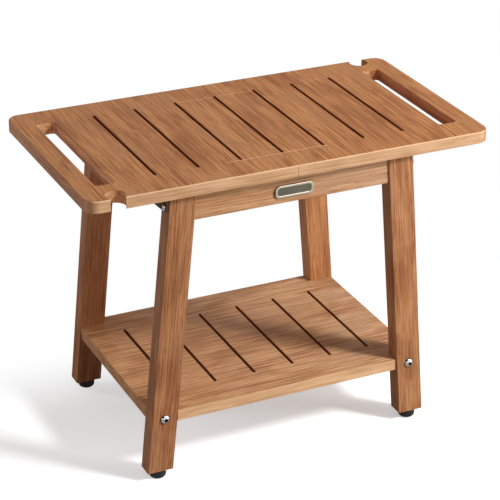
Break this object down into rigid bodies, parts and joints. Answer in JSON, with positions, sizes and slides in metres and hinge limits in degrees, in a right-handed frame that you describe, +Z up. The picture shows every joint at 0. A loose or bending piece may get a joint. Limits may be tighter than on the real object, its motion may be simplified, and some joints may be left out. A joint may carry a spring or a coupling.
{
  "type": "shower bench",
  "caption": "Wood-look shower bench with a slotted seat, a hand hold at each end, splayed legs on levelling feet and a slotted storage shelf near the floor.",
  "frame": {"origin": "on the floor under the middle of the seat", "axes": "+X along the seat, -Y towards the front, which carries the plate, +Z up"},
  "size_m": [0.61, 0.326, 0.454],
  "materials": {
    "seat_wood": "satin oiled teak look, grain front to back",
    "frame_wood": "satin oiled teak look, grain along each bar",
    "shelf_wood": "satin oiled teak look, grain along the shelf",
    "dowel_wood": "plain beech",
    "plate_metal": "bright rim round a dull dark field",
    "bright_steel": "polished",
    "plated_steel": "zinc plated",
    "coated_steel": "satin brown coat",
    "foot_rubber": "matt black"
  },
  "bodies": {
    "bench": {"seat_board_left": "seat_wood", "seat_board_right": "seat_wood", "apron_front": "frame_wood", "apron_back": "frame_wood", "shelf_board": "shelf_wood", "seat_dowels": "dowel_wood", "apron_dowels": "dowel_wood", "nameplate": "plate_metal", "shelf_bolts": "bright_steel", "bracket_bolts": "bright_steel", "shelf_cross_nuts": "plated_steel", "bracket_inserts": "plated_steel", "foot_inserts": "plated_steel", "bracket_screws": "plated_steel", "seam_bracket_screws": "plated_steel", "leg_front_left": "frame_wood", "leg_bracket_front_left": "coated_steel", "seam_bracket_front_left": "coated_steel", "leg_front_right": "frame_wood", "leg_bracket_front_right": "coated_steel", "seam_bracket_front_right": "coated_steel", "leg_back_left": "frame_wood", "leg_bracket_back_left": "coated_steel", "seam_bracket_back_left": "coated_steel", "leg_back_right": "frame_wood", "leg_bracket_back_right": "coated_steel", "seam_bracket_back_right": "coated_steel"},
    "foot_front_left": {"foot_pad_front_left": "foot_rubber", "foot_stud_front_left": "plated_steel"},
    "foot_front_right": {"foot_pad_front_right": "foot_rubber", "foot_stud_front_right": "plated_steel"},
    "foot_back_left": {"foot_pad_back_left": "foot_rubber", "foot_stud_back_left": "plated_steel"},
    "foot_back_right": {"foot_pad_back_right": "foot_rubber", "foot_stud_back_right": "plated_steel"}
  },
  "joints": [
    {"name": "level_front_left", "type": "slide", "parent": "bench", "child": "foot_front_left", "axis": [0, 0, -1], "range_m": [0, 0.008]},
    {"name": "level_front_right", "type": "slide", "parent": "bench", "child": "foot_front_right", "axis": [0, 0, -1], "range_m": [0, 0.008]},
    {"name": "level_back_left", "type": "slide", "parent": "bench", "child": "foot_back_left", "axis": [0, 0, -1], "range_m": [0, 0.008]},
    {"name": "level_back_right", "type": "slide", "parent": "bench", "child": "foot_back_right", "axis": [0, 0, -1], "range_m": [0, 0.008]}
  ]
}
